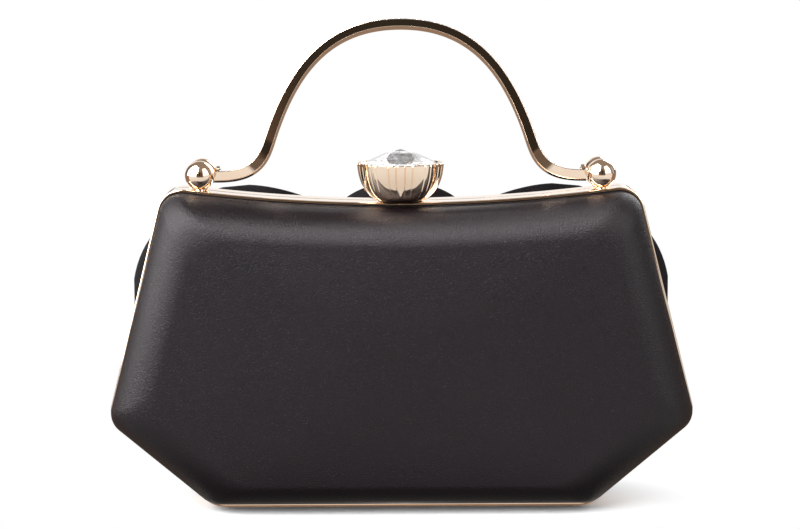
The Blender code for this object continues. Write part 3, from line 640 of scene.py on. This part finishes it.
def handlePath():
    # centreline from left end to right end with the outward side at each point
    shape = handleShape
    topPull, armPull, footPull, endPull = [pull * mm for pull in shape.pulls]
    top = Vector((0, shape.rise))
    bend = Vector((shape.bendX, shape.bendHeight))
    down = Vector((cos(shape.slope), -sin(shape.slope)))
    end = Vector((shape.endX - shape.curveEnd, -shape.endDrop))
    half = [curvePoint(top, top + Vector((topPull, 0)), bend - down * armPull, bend, step / shape.archSteps)
            for step in range(shape.archSteps)]
    half += [curvePoint(bend, bend + down * footPull, end - Vector((endPull, 0)), end, step / shape.footSteps)
             for step in range(shape.footSteps + 1)]
    half.append(Vector((shape.tipX, -shape.endDrop)))
    path = [Vector((-point.x, point.y)) for point in reversed(half[1:])] + half
    frames = []
    for index, point in enumerate(path):
        along = (path[min(index + 1, len(path) - 1)] - path[max(index - 1, 0)]).normalized()
        if index in (0, len(path) - 1):
            along = Vector((1, 0))
        frames.append((point, Vector((-along.y, along.x))))
    return frames


def barHalf(height):
    shape = handleShape
    share = min(max((height + shape.endDrop) / (shape.rise + shape.endDrop), 0), 1)
    return (shape.endThick + (shape.topThick - shape.endThick) * share) / 2


def leaned(x, depth, height):
    # from the handle's own plane to the world
    c, s = cos(handleShape.lean), sin(handleShape.lean)
    return (x, partingY + frameShape.ballY + depth * c + height * s,
            ballShape.height + height * c - depth * s)


def roundedCorner(before, corner, after, edge):
    # a small round between two flat sides, with support points that keep the sides flat in the shading
    before, corner, after = Vector(before), Vector(corner), Vector(after)
    wayIn, wayOut = (before - corner).normalized(), (after - corner).normalized()
    straight = edge + handleShape.support
    points = [corner + wayIn * straight]
    for step in range(5):
        share = step / 4
        points.append(corner + wayIn * edge * (1 - share) ** 2 + wayOut * edge * share ** 2)
    points.append(corner + wayOut * straight)
    return [tuple(point) for point in points]


def barSection(height):
    # a keystone at the foot that becomes a flat band, with a channel for the stones outside
    shape = handleShape
    half, wide, edge = barHalf(height), shape.depth / 2, shape.edge
    share = min(max((height - shape.draftFoot) / shape.draftTop, 0), 1)
    narrow = wide - 2 * half * shape.draft * (1 - share * share * (3 - 2 * share))
    channel, floor = shape.groove, half - shape.grooveDepth
    section = [(-channel, half), (-channel, floor), (channel, floor), (channel, half)]
    section += roundedCorner(section[3], (wide, half), (narrow, -half), edge)
    section += roundedCorner((wide, half), (narrow, -half), (-narrow, -half), edge)
    section += roundedCorner((narrow, -half), (-narrow, -half), (-wide, half), edge)
    section += roundedCorner((-narrow, -half), (-wide, half), section[0], edge)
    return section


def sweep(name, frames, sectionAt):
    rings = []
    for point, normal in frames:
        rings.append([leaned(point.x + normal.x * out, depth, point.y + normal.y * out)
                      for depth, out in sectionAt(point.y)])
    return ringPiece(name, rings)


def makeBar(frames):
    shape = handleShape
    bar = sweep("handleBarPolished", frames, barSection)
    for sign in (-1, 1):
        deselect()
        bpy.ops.mesh.primitive_uv_sphere_add(
            segments=64, ring_count=32, radius=shape.tipHollow,
            location=leaned(sign * frameShape.ballX, 0, 0))
        cutWith(bar, bpy.context.object)   # the ends are hollowed round the balls
        outer = leaned(sign * (shape.endX + shape.eyeStand), 0, 0)
        inner = leaned(sign * (shape.endX + shape.eyeStand - shape.eyeLength), 0, 0)
        cutWith(bar, addRod(shape.eyeRadius, inner, outer), "UNION")
        mouth = leaned(sign * (shape.endX + 1 * mm), 0, 0)
        foot = leaned(sign * (shape.endX - shape.eyeBore), 0, 0)
        cutWith(bar, addRod(ballShape.pinBore, foot, mouth))
    return closeUp(bar, 35)


def makeStoneRail(frames):
    channel = handleShape.groove - railShape.gap

    def section(height):
        low = barHalf(height) - handleShape.grooveDepth + railShape.lift
        high = barHalf(height) - railShape.drop
        return [(-channel, low), (channel, low), (channel, high), (-channel, high)]

    return sweep("stoneRail", frames, section)


def makeStone(radius):
    # one small brilliant, its table turned by half a side
    sides, rings = stoneShape.sides, []
    for index, (out, up) in enumerate(stoneShape.profile):
        shift = pi / sides if index == len(stoneShape.profile) - 1 else 0
        rings.append([(u, v, radius * up) for u, v in circle(radius * out, sides, shift)])
    return ringPiece("stone", rings, "cap", 1)


def makeStones(frames):
    pattern = makeStone(stoneShape.radius)
    lengths = [0.0]
    for (before, _), (after, _) in zip(frames, frames[1:]):
        lengths.append(lengths[-1] + (after - before).length)
    count = int((lengths[-1] - 2 * stoneShape.radius) / stoneShape.pitch) + 1
    spare = (lengths[-1] - (count - 1) * stoneShape.pitch) / 2
    stones = []
    for number in range(count):
        reach = spare + number * stoneShape.pitch
        index = max(i for i, length in enumerate(lengths[:-1]) if length <= reach)
        share = (reach - lengths[index]) / (lengths[index + 1] - lengths[index])
        point = frames[index][0].lerp(frames[index + 1][0], share)
        normal = frames[index][1].lerp(frames[index + 1][1], share).normalized()
        out = barHalf(point.y) + stoneShape.stand
        for row, depth in enumerate(stoneShape.rows):
            copy = pattern.copy()
            copy.data = pattern.data.copy()
            bpy.context.collection.objects.link(copy)
            origin = Vector(leaned(point.x + normal.x * out, depth, point.y + normal.y * out))
            up = (Vector(leaned(point.x + normal.x, depth, point.y + normal.y))
                  - Vector(leaned(point.x, depth, point.y))).normalized()
            turn = up.to_track_quat("Z", "Y").to_matrix().to_4x4()
            spin = Matrix.Rotation(stoneShape.turn * number + row, 4, "Z")
            copy.data.transform(Matrix.Translation(origin) @ turn @ spin)
            stones.append(copy)
    bpy.data.objects.remove(pattern)
    pick(stones[0])
    for stone in stones:
        stone.select_set(True)
    bpy.ops.object.join()
    stones[0].name = "handleStones"
    return stones[0]


barFrames = handlePath()
bar = makeBar(barFrames)
dress(bar, roseGold)
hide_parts("handle_bar")
stoneFrames = [(point, normal) for point, normal in barFrames
               if abs(point.x) <= handleShape.endX - stoneShape.stop]
rail = makeStoneRail(stoneFrames)
dress(rail, roseGold)
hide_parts("stone_strip")
stones = makeStones(stoneFrames)
dress(stones, smallStone)
for piece in (bar, rail, stones):
    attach(piece, "handle")
print("handle made")


# Clasp

claspShape = Values(foot=111.3 * mm, stretch=1.04, lipHeight=13.3, grooveDepth=0.34 * mm, grooveHalf=1.15,
                    lobeStep=2.4, bulge=0.11 * mm, footFade=0.25, scallop=0.4 * mm, scallopFrom=0.75, innerLip=13.9)
tongueShape = Values(half=5.2, tip=1.4, taper=2.6, slope=0.4, top=(15.1, 9.1), height=5, edge=0.9, steps=12)
grooveQuarter = (6, 16, 34.5, 44, 61, 71, 84)   # degrees from the front, mirrored to every side
grooveSteps = (-1.15, -0.7, -0.3, 0, 0.3, 0.7, 1.15)
# radius and height in millimetres
cupOuter = ((7.6, 0.0), (8.4, 0.12), (9.3, 0.6), (10.2, 1.2), (10.8, 1.65), (11.35, 2.15), (11.9, 2.7), (12.4, 3.3),
            (12.85, 3.9), (13.25, 4.5), (13.6, 5.1), (13.95, 5.8), (14.3, 6.6), (14.65, 7.5), (15.1, 9.1),
            (15.38, 10.8), (15.58, 12.3), (15.66, 13.05), (15.45, 13.3))
cupInner = ((14.2, 13.25), (13.8, 12.3), (12.6, 7.6), (7.4, 2.2), (1.5, 1.9), (1.5, 0.0))


def grooveAngles():
    angles = set()
    for angle in grooveQuarter:
        for turned in (angle, 180 - angle, 180 + angle, 360 - angle):
            angles.add(turned % 360)
    return sorted(angles)


def cupAngles(grooves):
    # close together at the grooves, further apart on the lobes
    angles, edge = [], claspShape.grooveHalf
    for index, groove in enumerate(grooves):
        after = grooves[(index + 1) % len(grooves)] + (360 if index == len(grooves) - 1 else 0)
        angles += [groove + step for step in grooveSteps]
        wide = abs((groove + after) % 360 - 180) > 179   # the front and back lobes carry a pointed tongue
        lobe = after - groove - 2 * edge
        count = tongueShape.steps if wide else max(2, round(lobe / claspShape.lobeStep))
        angles += [groove + edge + lobe * step / count for step in range(1, count)]
    return angles


def cupWaves(grooves):
    # each angle with its depth in a groove, its share from the lobe's middle and its turn from the front or back
    fullTurn = grooves + [grooves[0] + 360]
    waves = []
    for angle in cupAngles(grooves):
        near = min(abs((angle - groove + 180) % 360 - 180) for groove in grooves)
        cut = max(1 - (near / claspShape.grooveHalf) ** 2, 0)
        spot = angle % 360
        if spot < fullTurn[0]:
            spot += 360
        before = max(groove for groove in fullTurn if groove <= spot + 1e-6)
        after = min([groove for groove in fullTurn if groove > spot + 1e-6] or [fullTurn[-1]])
        width = max(after - before, 1)
        middle = min(abs(spot - (before + after) / 2) / (width / 2), 1)
        waves.append((angle, cut, middle, abs((angle + 90) % 180 - 90)))
    return waves


def makeCup():
    shape, tongue = claspShape, tongueShape
    y = partingY + frameShape.claspY
    waves = cupWaves(grooveAngles())
    rings = []
    for isOuter, profile in ((True, cupOuter), (False, cupInner)):
        for radius, height in profile:
            up = height / shape.lipHeight
            lip = max(up - shape.scallopFrom, 0) / (1 - shape.scallopFrom)
            # the tongue runs straight on and down to a point
            tip = tongue.half * min(max((height - tongue.tip) / tongue.taper, 0), 1)
            straight = (tongue.top[0] - tongue.slope * (tongue.top[1] - height)) * mm - radius * mm
            ring = []
            for angle, cut, middle, fromFront in waves:
                pull = (shape.grooveDepth * cut + shape.bulge * middle ** 2) * min(shape.footFade + up, 1)
                drop = shape.scallop * middle ** 4 * lip
                if height < tongue.height and fromFront < tip and straight > 0:
                    pull -= straight * min(1, (tip - fromFront) / tongue.edge)
                if not isOuter:
                    pull = 0
                    drop = drop if radius > shape.innerLip else 0
                reach, turn = radius * mm - pull, radians(angle - 90)
                ring.append((reach * cos(turn), y + reach * sin(turn),
                             shape.foot + height * shape.stretch * mm - drop))
            rings.append(ring)
    return ringPiece("claspCupFluted", rings, "loop", 28)


crystalShape = Values(
    # millimetres: out to the facet's middle, its half angle, out between two facets, height over the girdle
    levels=((1.3, 22.5, 1.3, -4.6), (7.2, 22.5, 7.2, -3.2), (13.1, 22.5, 13.1, -0.8), (13.1, 22.5, 13.1, 0.1),
            (12.0, 18, 12.7, 0.63), (8.0, 32, 9.6, 2.33), (4.3, 41, 5.9, 3.9), (2.0, 41, 2.6, 4.6),
            (0.02, 41, 0.02, 5.15)),
    # broad, broadHalf and tipOver pick the facets that take the painted dark reflection; tones give the painted
    # glints of the others
    girdle=13.45 * mm, roundHalf=22.5, foilUnder=-0.5 * mm, broad=(1 * mm, 3.8 * mm), broadHalf=30,
    tipOver=4.45 * mm, darkTone=0.26, tones=(0.7, 0.3))


def makeCutStone():
    # a round girdle under a crown with four broad flat facets and a small point
    shape = crystalShape
    y = partingY + frameShape.claspY
    girdle = claspShape.foot + shape.girdle
    rings = []
    for middle, half, between, up in shape.levels:
        side = middle if half == shape.roundHalf else middle / cos(radians(half))
        ring = []
        for turned in (-90, 0, 90, 180):
            for aside, out in ((0, middle), (half, side), (45, between), (90 - half, side)):
                turn = radians(turned + aside)
                ring.append((out * mm * cos(turn), y + out * mm * sin(turn), girdle + up * mm))
        rings.append(ring)
    stone = closeUp(ringPiece("claspCutStone", rings, "cap", 1), 1)
    dress(stone, cutGlass)
    stone.data.materials.append(stoneFoil)
    tone = stone.data.attributes.new("paintedFacetLight", "FLOAT", "FACE")
    low, high = shape.broad
    for face in stone.data.polygons:
        middle = Vector(face.center) - Vector((0, y, girdle))
        azimuth = degrees(atan2(middle.x, -middle.y))
        face.material_index = 1 if middle.z < shape.foilUnder else 0
        isBroad = low < middle.z < high and abs((azimuth + 45) % 90 - 45) < shape.broadHalf
        # most facets take a painted glint that changes from facet to facet
        least, spread = shape.tones
        tone.data[face.index].value = least + spread * sin(5 * azimuth + 900 * middle.z) ** 2
        # the broad facets and the point take a painted dark reflection
        if isBroad or middle.z > shape.tipOver:
            tone.data[face.index].value = shape.darkTone
    return stone


dishShape = Values(sides=16, profile=((12.3, 11.1), (9.3, 9.6), (3.0, 7.6), (3.0, 7.3), (9.4, 9.25), (12.3, 10.7)))


def makeFoilDish():
    y = partingY + frameShape.claspY
    rings = [[(u, y + v, claspShape.foot + height * mm) for u, v in circle(reach * mm, dishShape.sides)]
             for reach, height in dishShape.profile]
    return ringPiece("claspFoil", rings, "loop", 1)


cup = makeCup()
dress(cup, roseGold)
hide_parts("clasp_cup")
cutStone = makeCutStone()
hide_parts("clasp_crystal")
foil = makeFoilDish()
dress(foil, stoneFoil)
for piece in (cup, cutStone, foil):
    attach(piece, "clasp_knob")
print("clasp made")


# Flower

flowerShape = Values(height=60 * mm, thick=0.86 * mm, pitch=1.3 * mm, gap=0.5 * mm, baseRadius=4.5 * mm,
                     baseHalf=3.4 * mm, wideShare=0.7, tipTurn=radians(78), back=27.8 * mm,
                     lifts=((2.6 * mm, 101.5 * mm), (4.2 * mm, 43 * mm), (4.8 * mm, 25 * mm)), curl=0.9 * mm,
                     curlFrom=0.82, edge=0.34 * mm, rows=34, columns=22)
# name, angle, length, half width, level, twist, and the lift with the length that it is reached at
outer, middle, inner = flowerShape.lifts
petalList = [("top", 90, 54.5, 26, 1, 0, outer), ("base", -90, 49, 29, 1, 0, outer)]
for name, angle, length, half, level, twist in (
        ("shoulder", 139.1, 81.8, 24.3, 0, -43.6), ("side", 174, 101.5, 37, 1, 6), ("low", 214, 76, 25.5, 0, 0)):
    petalList.append((name + "_left", angle, length, half, level, twist, outer))
    petalList.append((name + "_right", 180 - angle, length, half, level, -twist, outer))
petalList += [("middle_%d" % (i + 1), 120 + 60 * i, 43, 19, 2 + i % 2, 0, middle) for i in range(6)]
petalList += [("inner_%d" % (i + 1), 90 + 90 * i, 25, 11.5, 4 + i % 2, 0, inner) for i in range(4)]


def makePetal(name, angle, length, half, level, twist, lift):
    shape = flowerShape
    angle, twist = radians(angle), radians(twist)
    length, half = length * mm, half * mm
    deselect()
    bpy.ops.mesh.primitive_grid_add(x_subdivisions=shape.columns, y_subdivisions=shape.rows, size=2)
    petal = bpy.context.object
    petal.name = name
    wide = shape.baseRadius + (length - shape.baseRadius) * shape.wideShare
    for vertex in petal.data.vertices:
        across, along = vertex.co.x, (vertex.co.y + 1) / 2
        if along < 0.5:
            share = along / 0.5
            swell = share * share * (3 - 2 * share)
            out = shape.baseRadius + (wide - shape.baseRadius) * share
            width = shape.baseHalf + (half - shape.baseHalf) * swell
            facing = angle + twist * share
        else:
            turn = shape.tipTurn * (along - 0.5) / 0.5
            out = wide + (length - wide) * sin(turn) / sin(shape.tipTurn)
            width = half * cos(turn)
            facing = angle + twist
        x = out * cos(angle) - width * across * sin(facing)
        z = out * sin(angle) + width * across * cos(facing)
        reach = hypot(x, z)
        y = shape.back + level * shape.pitch + shape.gap + lift[0] * (reach / lift[1]) ** 2
        y += shape.curl * max(reach / length - shape.curlFrom, 0) / (1 - shape.curlFrom)
        vertex.co = (x, partingY + y, shape.height + z)
    finishModifier(petal, "SOLIDIFY", thickness=shape.thick, offset=0)
    finishModifier(petal, "BEVEL", width=shape.edge, segments=3, limit_method="ANGLE",
                   angle_limit=radians(50))
    closeUp(petal, 50)
    dress(petal, petalSatin)
    return petal


for name, *sizes in petalList:
    words = name.split("_")
    petal = makePetal("petal" + "".join(word.title() for word in words) + "Satin", *sizes)
    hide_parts("petal_" + name)
    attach(petal, "flower_half")


buttonShape = Values(stem=4.1 * mm, stemGap=0.1 * mm, under=6.6 * mm, half=7.0 * mm, lift=0.5 * mm, dome=4.4 * mm,
                     turns=(-4, 8, 20, 32, 44, 56, 68, 80, 87), pleats=18, pleatDepth=0.012, level=6, sides=72)


def makeButton():
    shape, back = buttonShape, flowerShape.back
    lift, length = flowerShape.lifts[2]   # the button sits on the inner petals
    top = back + shape.level * flowerShape.pitch + lift * (shape.half / length) ** 2
    profile = [(shape.stem, back + shape.stemGap), (shape.stem, top), (shape.under, top + 0.05 * mm)]
    profile += [(shape.half * cos(a), top + shape.lift + shape.dome * sin(a))
                for a in (radians(d) for d in shape.turns)]
    rings = []
    for radius, y in profile:
        ring = []
        for index in range(shape.sides):
            a = 2 * pi * index / shape.sides
            reach = radius * (1 + shape.pleatDepth * cos(shape.pleats * a))
            ring.append((reach * cos(a), partingY + y, flowerShape.height + reach * sin(a)))
        rings.append(ring)
    return ringPiece("flowerButtonSatin", rings, "cap", 50)


button = makeButton()
dress(button, blackSatin)
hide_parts("flower_button")
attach(button, "flower_half")
print("flower made")


# Floor, lights and camera

studio = Values(floorSize=60.0, floorDrop=0.02 * mm, skyLevel=0.25, bounce=0.3)
# degrees from the camera, distance, width, lower and upper edge, level
windows = {"keyWindow": (-65, 2.0, 3.24, 0.12, 7.2, 5.8), "innerWindow": (-20, 2.2, 0.46, 1.1, 6.0, 17.0),
           "fillWindow": (53, 1.0, 0.85, 0.22, 1.65, 1.8), "backWindow": (150, 2.2, 1.3, 0.3, 2.4, 3.0)}
white, pale, silver, light, grey, dim, dark = [(tone,) * 3 for tone in (1, 0.9, 0.8, 0.6, 0.3, 0.2, 0.05)]
brown, darkBrown, midBrown, redBrown, black = ((0.15, 0.115, 0.09), (0.1, 0.075, 0.055), (0.12, 0.08, 0.055),
                                               (0.2, 0.115, 0.078), (0.03, 0.025, 0.02))
# what polished metal sees round the bag: degrees from the camera, left negative
roomRound = ((-180, white), (-150, white), (-146, dark), (-124, dark), (-118, light), (-98, light), (-92, grey),
             (-24, grey), (-20, darkBrown), (-5, brown), (-3.4, redBrown), (-2.9, black), (5, black), (9, midBrown),
             (26, midBrown), (31, silver), (80, silver), (84, dim), (92, dim), (98, (0.5,) * 3), (116, (0.5,) * 3),
             (122, dark), (146, dark), (150, white), (180, white))
tableRound = ((-180, white), (-150, white), (-146, grey), (-110, grey), (-104, white), (-24, white), (-19, brown),
              (27, brown), (32, pale), (95, pale), (104, grey), (146, grey), (150, white), (180, white))
glassRound = ((-180, white), (-30, white), (-18, (0.7,) * 3), (18, (0.7,) * 3), (30, white), (180, white))
# what metal and glass see of the table is painted into its glow: darker near the bag as a painted shade, a painted
# shade right round the bag, a painted cream glow under the frame's front and a painted brown shade under the bag,
# with the distances from the bag's middle between which each tone changes
table = Values(near=(0.76, 0.75, 0.74, 1), middle=(0.95, 0.95, 0.95, 1), middleFrom=(0.1, 0.45),
               roundFrom=(0.6, 0.75), shade=(0.2, 0.18, 0.17, 1), shadeEnds=(0.042, 0.068), shadeStretch=0.45,
               front=(-9.5 * mm, -8.5 * mm), underFrame=(0.92, 0.86, 0.8, 1), seam=(-5.4 * mm, -4.8 * mm),
               underBag=(0.3, 0.2, 0.14, 1), lampShadow=(0.04, 0.066), lampStretch=0.62)
ceiling = Values(room=(0.3, 0.25, 0.21, 1), roomFrom=(0.42, 0.65), glassFrom=(0.6, 0.8))


def roundRamp(look, across, back, stops):
    azimuth = across.calc("ARCTAN2", 0 - back)
    return look.ramp(look.span(azimuth, -pi, pi, 0, 1),
                     [((turn + 180) / 360, colour) for turn, colour in stops])


def makeFloor():
    deselect()
    bpy.ops.mesh.primitive_plane_add(size=studio.floorSize, location=(0, 0, -studio.floorDrop))
    floor = bpy.context.object
    floor.name = "floor"
    look = Recipe("paleFloor")
    look.give(Base_Color=(0.9, 0.9, 0.9, 1), Roughness=0.7, Specular_IOR_Level=0.2)
    spot = look.node("TexCoord", out="Object")
    across, back = look.outputs("SeparateXYZ", (0, 1), {0: spot})
    isCamera, isBounce, isGlossy, isThrough = look.outputs("LightPath", (
        "Is Camera Ray", "Is Diffuse Ray", "Is Glossy Ray", "Is Transmission Ray"))
    isMirror = isGlossy + isThrough

    def around(stretch):
        narrow = look.node("VectorMath", {"operation": "MULTIPLY"}, {0: spot, 1: (stretch, 1, 1)})
        return look.node("VectorMath", {"operation": "LENGTH"}, {0: narrow}, out="Value")

    # painted tones for the mirrors: the table darker near the bag as a painted shade
    cream = look.mix(look.span(around(1), *table.middleFrom, 0, 1), table.near, table.middle)
    mirrored = look.mix(look.span(around(1), *table.roundFrom, 0, 1), cream,
                        roundRamp(look, across, back, tableRound))
    # a painted shade round the bag for the mirrors
    shade = look.span(around(table.shadeStretch), *table.shadeEnds, 0, 1)
    mirrored = look.mix(shade, table.shade, mirrored)
    # a painted cream glow on the table just under the frame's front, for the frame's lower strip to mirror
    mirrored = look.mix(look.span(back, *table.front, 0, 1), mirrored, table.underFrame)
    # a painted brown shade on the table under the bag, for the mirrors
    mirrored = look.mix(look.span(back, *table.seam, 0, 1), mirrored, table.underBag)
    bounce = studio.bounce
    glow = look.mix(isBounce, mirrored, (bounce, bounce, bounce, 1))
    glow = look.mix(isCamera, glow, (1, 1, 1, 1))
    lit = look.node("Emission", None, {"Color": glow, "Strength": 1.0})
    # the camera sees the lamps' own light near the bag, with its shadow, and plain white further out
    far = look.span(around(table.lampStretch), *table.lampShadow, 0, 1)
    blend = look.node("MixShader", None, {
        0: isCamera * far + isMirror + isBounce, 1: Wire(look, look.shader.outputs[0]), 2: lit})
    look.tree.links.new(blend.socket, look.tree.nodes["Material Output"].inputs[0])
    dress(floor, look.material)
    floor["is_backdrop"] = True


def makeWorld():
    world = bpy.data.worlds.new("studio")
    bpy.context.scene.world = world
    world.use_nodes = True
    look = Recipe("world", world.node_tree)
    way = look.node("TexCoord", out="Generated")
    across, back, up = look.outputs("SeparateXYZ", (0, 1, 2), {0: way})
    room = look.mix(look.span(up, *ceiling.roomFrom, 0, 1), roundRamp(look, across, back, roomRound),
                    ceiling.room)
    glass = look.mix(look.span(up, *ceiling.glassFrom, 0, 1), roundRamp(look, across, back, glassRound),
                     (1, 1, 1, 1))
    isCamera, isGlossy, isThrough = look.outputs("LightPath", (
        "Is Camera Ray", "Is Glossy Ray", "Is Transmission Ray"))
    level = studio.skyLevel
    colour = look.mix(isGlossy, (level, level, level, 1), room)
    colour = look.mix(isThrough, colour, glass)
    colour = look.mix(isCamera, colour, (1, 1, 1, 1))
    background = world.node_tree.nodes["Background"]
    world.node_tree.links.new(colour.socket, background.inputs[0])
    background.inputs[1].default_value = 1.0


def addLamp(name, azimuth, distance, width, low, high, level):
    # an upright window of even brightness, turned to the bag
    turn = radians(azimuth)
    deselect()
    bpy.ops.object.light_add(
        type="AREA", location=(distance * sin(turn), -distance * cos(turn), (low + high) / 2),
        rotation=(radians(90), 0, turn))
    lamp = bpy.context.object
    lamp.name = name
    lamp.data.shape = "RECTANGLE"
    lamp.data.size, lamp.data.size_y = width, high - low
    lamp.data.energy = level * pi * width * (high - low)


cameraPlace = Values(lens=100, sensor=36, clip=200, aside=-0.36 * mm, distance=0.8, height=0.192, down=7.44,
                     roll=0.3)


def makeCamera():
    bpy.ops.object.camera_add()
    camera = bpy.context.object
    camera.name = "camera"
    camera.data.lens = cameraPlace.lens
    camera.data.sensor_width = cameraPlace.sensor
    camera.data.clip_end = cameraPlace.clip
    spot = (cameraPlace.aside, partingY - cameraPlace.distance, cameraPlace.height)
    camera.matrix_world = (Matrix.Translation(spot)
                           @ Matrix.Rotation(radians(90 - cameraPlace.down), 4, "X")
                           @ Matrix.Rotation(radians(-cameraPlace.roll), 4, "Z"))
    bpy.context.scene.camera = camera


makeFloor()
makeWorld()
for name, place in windows.items():
    addLamp(name, *place)
makeCamera()
bpy.context.scene.view_settings.view_transform = "Standard"
print("stage made")

sizes = {"cad": [list(corner) for corner in cadBounds], "visual": [list(corner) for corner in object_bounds()]}
